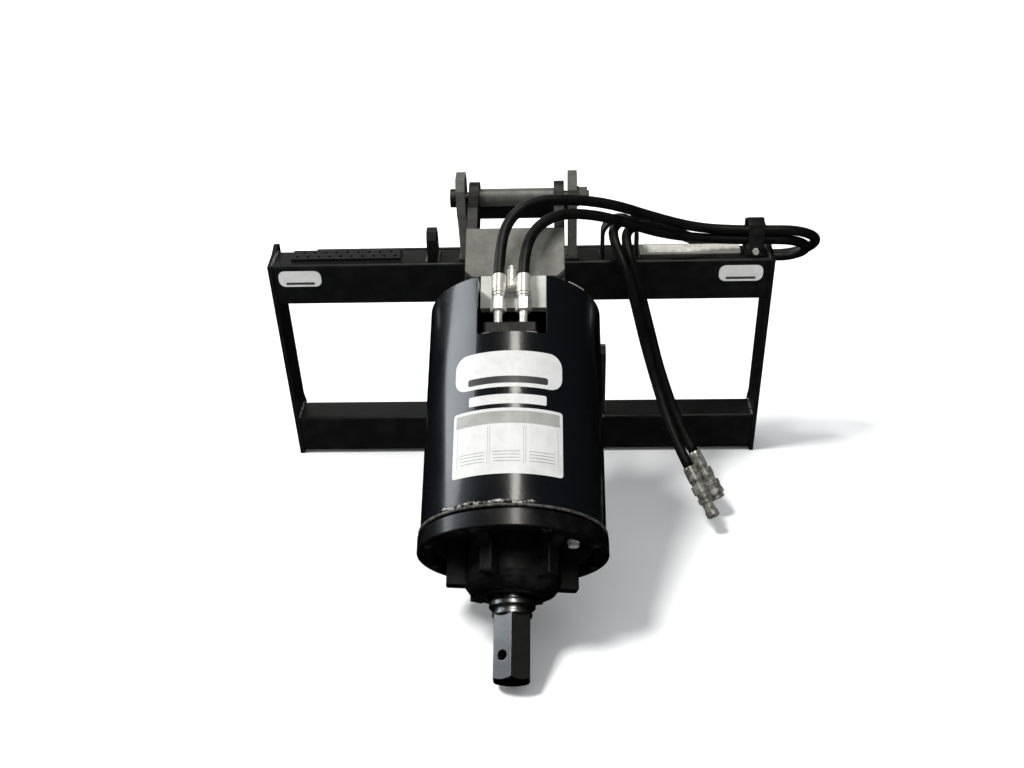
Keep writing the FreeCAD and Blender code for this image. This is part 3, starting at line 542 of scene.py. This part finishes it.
def add_weld(name, path, radius, body, material, pitch=0.8, seed=1):
    """Rippled bead along a path, like laid coins."""
    draw = random.Random(seed)
    length = sum((b - a).length for a, b in zip(path, path[1:]))
    count = max(6, int(length / (radius * pitch / 4)))
    spaced, radii = [], []
    for step in range(count + 1):
        spaced.append(point_along(path, length * step / count))
        ripple = 0.84 + 0.22 * abs(math.sin(math.pi * step / 4)) + draw.uniform(-0.03, 0.03)
        end = min(1.0, 0.45 + min(step, count - step) / 6)
        radii.append(radius * ripple * end)
    bead = tube_mesh(name, spaced, radii, 10, material)
    finish_piece(bead, body)


def point_along(path, distance):
    for start, end in zip(path, path[1:]):
        run = (end - start).length
        if distance <= run:
            return start.lerp(end, distance / run if run else 0)
        distance -= run
    return path[-1].copy()


def add_frame_welds(made):
    weld = made["weld_metal"]
    for side, label in ((-1, "left"), (1, "right")):
        for level, where in ((429, "upper"), (0, "lower")):
            metal = made["bare_weld"] if level == 0 else weld
            inner = side * 561.0
            path = [on_frame(inner, 4, level + 99), on_frame(inner, 70, level + 103)]
            add_weld(f"{label}_{where}_rail_weld", path, BEAD, "mount_frame", metal,
                     seed=level + 2)
        for x, where in ((109, "inner"), (131, "outer")):
            path = [on_frame(side * x, 14, 531.5), on_frame(side * x, 66, 531.5)]
            add_weld(f"{label}_tower_{where}_weld", path, BEAD, "mount_frame", weld, seed=x)
        for x, where in ((183, "inner"), (201, "outer")):
            path = [on_frame(side * x, 2, 102.5), on_frame(side * x, 64, 102.5)]
            add_weld(f"{label}_cheek_{where}_weld", path, BEAD, "mount_frame", weld, seed=x)
        path = [on_frame(side * 184, -1, 103), on_frame(side * 200, -1, 103)]
        add_weld(f"{label}_cheek_front_weld", path, BEAD, "mount_frame", made["bare_weld"],
                 seed=9)
    for x, where in ((-207, "left"), (-183, "right")):
        path = [on_frame(x, 10, 531.5), on_frame(x, 60, 531.5)]
        add_weld(f"lifting_eye_{where}_weld", path, BEAD, "mount_frame", weld, seed=11)
    for x in (183, 269):
        path = [on_frame(x, 16, 531.5), on_frame(x, 48, 531.5)]
        add_weld(f"hose_hook_weld_{x}", path, 0.004, "mount_frame", weld, seed=x)


def add_drive_welds(made):
    weld = made["weld_metal"]
    ring = [round_drive(2 * step, 773, HOUSING_RADIUS + 0.7) for step in range(181)]
    add_weld("housing_seam_weld", ring, 0.0028, "drive", weld, seed=5)
    bare = made["bare_weld"]
    seam = [round_drive(step, 768 + 1.6 * math.sin(step / 3.0), HOUSING_RADIUS + 0.1)
            for step in range(-44, 16)]
    add_weld("housing_seam_overlay", seam, 0.0042, "drive", bare, pitch=1.5, seed=3)
    # Painted highlights: bright zinc beads along the notch's lower corners stand in for the light
    # glinting off the cut edges.
    for first, last, label in ((-20, -14, "left"), (9, 17, "right")):
        lip_glint = [round_drive(step, 431.5, HOUSING_RADIUS - 6) for step in range(first, last + 1)]
        add_weld(f"notch_{label}_lip", lip_glint, 0.0026, "drive", made["zinc"], seed=last)
    # Painted glint: a thin bright zinc bead on the shell's top edge stands in for the light that
    # edge catches.
    painted_edge_glint = [round_drive(step, 303.4, HOUSING_RADIUS - 0.3) for step in range(39, 54)]
    add_weld("housing_edge_wear", painted_edge_glint, 0.0013, "drive", made["zinc"], seed=8)
    for side, label in ((-1, "left"), (1, "right")):
        edge = side * 79
        path = [on_drive(edge, 120, 44), on_drive(edge, 230, 44)]
        add_weld(f"{label}_arm_inner_weld", path, 0.004, "drive", weld, seed=3)


# ---- labels -------------------------------------------------------------------------------
def add_patch(name, place, width, height, corner, lift, material, body, columns=20):
    """Thin sticker with rounded corners; place(u, v, lift) gives its points, in millimetres."""
    rows = []
    tops = [corner * (1 - math.cos(math.radians(a))) for a in range(0, 91, 15)]
    middles = [corner + (height - 2 * corner) * i / 8 for i in range(1, 8)]
    for v in tops + middles + [height - v for v in reversed(tops)]:
        inset = 0.0
        near = min(v, height - v)
        if near < corner:
            inset = corner - math.sqrt(max(0.0, corner ** 2 - (corner - near) ** 2))
        rows.append((v, width / 2 - inset))
    points, faces = [], []
    for height_above in (0.0, lift):
        for v, half in rows:
            for column in range(columns + 1):
                u = -half + 2 * half * column / columns
                points.append(place(u, v - height / 2, height_above))
    layer = len(rows) * (columns + 1)
    stride = columns + 1
    for row in range(len(rows) - 1):
        for column in range(columns):
            a = row * stride + column
            faces.append((layer + a, layer + a + 1, layer + a + stride + 1, layer + a + stride))
            faces.append((a, a + stride, a + stride + 1, a + 1))
    edge = list(range(columns + 1))
    edge += [row * stride + columns for row in range(1, len(rows))]
    edge += [(len(rows) - 1) * stride + column for column in range(columns - 1, -1, -1)]
    edge += [row * stride for row in range(len(rows) - 2, 0, -1)]
    for a, b in zip(edge, edge[1:] + edge[:1]):
        faces.append((a, b, b + layer, a + layer))
    piece = add_mesh(name, points, faces, material, smooth=False)
    finish_piece(piece, body)


def housing_place(centre_angle, centre_depth, base=0.05):
    def place(u, v, lift):
        angle = centre_angle + math.degrees(u / HOUSING_RADIUS)
        return round_drive(angle, centre_depth + v, HOUSING_RADIUS + base + lift)
    return place


def rail_place(centre_x, centre_z, base=0.05):
    def place(u, v, lift):
        return on_frame(centre_x + u, -base - lift, centre_z - v)
    return place


def add_housing_labels(made):
    middle = -2.0
    add_patch("maker_plate", housing_place(middle, 511), 208, 74, 26, 0.3, made["white"], "drive")
    add_patch("maker_plate_band", housing_place(middle, 533, 0.35), 150, 14, 4, 0.1,
              made["dark"], "drive")
    add_patch("small_plate", housing_place(middle, 572), 144, 19, 3, 0.3, made["white"], "drive")
    add_patch("info_plate", housing_place(middle, 653), 208, 126, 6, 0.3, made["white"], "drive")
    add_patch("info_plate_head", housing_place(middle, 608, 0.35), 196, 24, 2, 0.1,
              made["grey"], "drive")
    pitch = 64.0
    for panel in range(3):
        angle = middle + math.degrees((panel - 1) * pitch / HOUSING_RADIUS)
        for edge in (-1, 1):
            side = angle + math.degrees(edge * 30 / HOUSING_RADIUS)
            add_patch(f"info_panel_{panel}_edge_{edge + 1}", housing_place(side, 661, 0.35), 0.8,
                      72, 0.2, 0.1, made["grey"], "drive", columns=2)
        for row in range(4):
            add_patch(f"info_panel_{panel}_rule_{row}", housing_place(angle, 674 + 6 * row, 0.35),
                      48, 1.4, 0.4, 0.1, made["grey"], "drive", columns=8)


def add_rail_labels(made):
    for x, label in ((-501, "left"), (498, "right")):
        add_patch(f"{label}_rail_plate", rail_place(x, 497), 98, 40, 15, 0.3, made["white"],
                  "mount_frame")
        add_patch(f"{label}_rail_plate_band", rail_place(x, 485, 0.35), 66, 6, 2, 0.1,
                  made["dark"], "mount_frame")


# ---- floor and light ----------------------------------------------------------------------
def add_floor(made):
    half = 20
    points = [(-half, -half, 0), (half, -half, 0), (half, half, 0), (-half, half, 0)]
    floor = add_mesh("floor", points, [(0, 1, 2, 3)], made["floor_paper"], smooth=False)
    floor.location.z = -0.0005
    floor.visible_glossy = False


LIT_POINT = Vector((0, -0.1, 0.35))


def aim(piece, location, target):
    """Place a light and turn it towards a point."""
    piece.location = location
    piece.rotation_euler = (Vector(target) - Vector(location)).to_track_quat("-Z", "Y").to_euler()


def add_panel(name, direction, distance, width, height, radiance, colour):
    """Soft light panel, aimed at the object, whose brightness doesn't depend on its size."""
    data = bpy.data.lights.new(name, "AREA")
    data.shape = "RECTANGLE"
    data.size = width
    data.size_y = height
    data.energy = radiance * math.pi * width * height
    data.color = colour
    light = bpy.data.objects.new(name, data)
    bpy.context.collection.objects.link(light)
    aim(light, LIT_POINT + Vector(direction).normalized() * distance, LIT_POINT)
    return light


def add_lights():
    left = add_panel("left_softbox", (-0.84, 0.18, 0.50), 2.6, 1.2, 1.7, 4.6, (0.88, 0.94, 1.0))
    left.visible_diffuse = False
    strip = add_panel("overhead_strip", (0.04, -0.20, 0.98), 2.6, 0.40, 2.6, 11.0,
                      (1.0, 0.97, 0.90))
    strip.visible_diffuse = False
    add_panel("rear_panel", (-0.25, 0.95, 0.24), 3.0, 2.6, 1.5, 1.0, (1.0, 0.98, 0.95))
    key = bpy.data.lights.new("key", "SUN")
    key.energy = 3.3
    key.angle = math.radians(13)
    sun = bpy.data.objects.new("key", key)
    bpy.context.collection.objects.link(sun)
    aim(sun, (-1.5, -0.8, 3.0), (0, 0, 0))
    sun.visible_glossy = False
    world = bpy.data.worlds.new("room")
    world.use_nodes = True
    world.node_tree.nodes["Background"].inputs["Color"].default_value = (0.95, 0.97, 1.0, 1)
    world.node_tree.nodes["Background"].inputs["Strength"].default_value = 0.72
    world.cycles_visibility.glossy = False
    bpy.context.scene.world = world
    bpy.context.scene.view_settings.view_transform = "Standard"


# ---- the scene ----------------------------------------------------------------------------
add_camera()
made = make_materials()
add_hoses(made)
finish_cad(made)
add_frame_welds(made)
add_drive_welds(made)
add_housing_labels(made)
add_rail_labels(made)
add_floor(made)
add_lights()
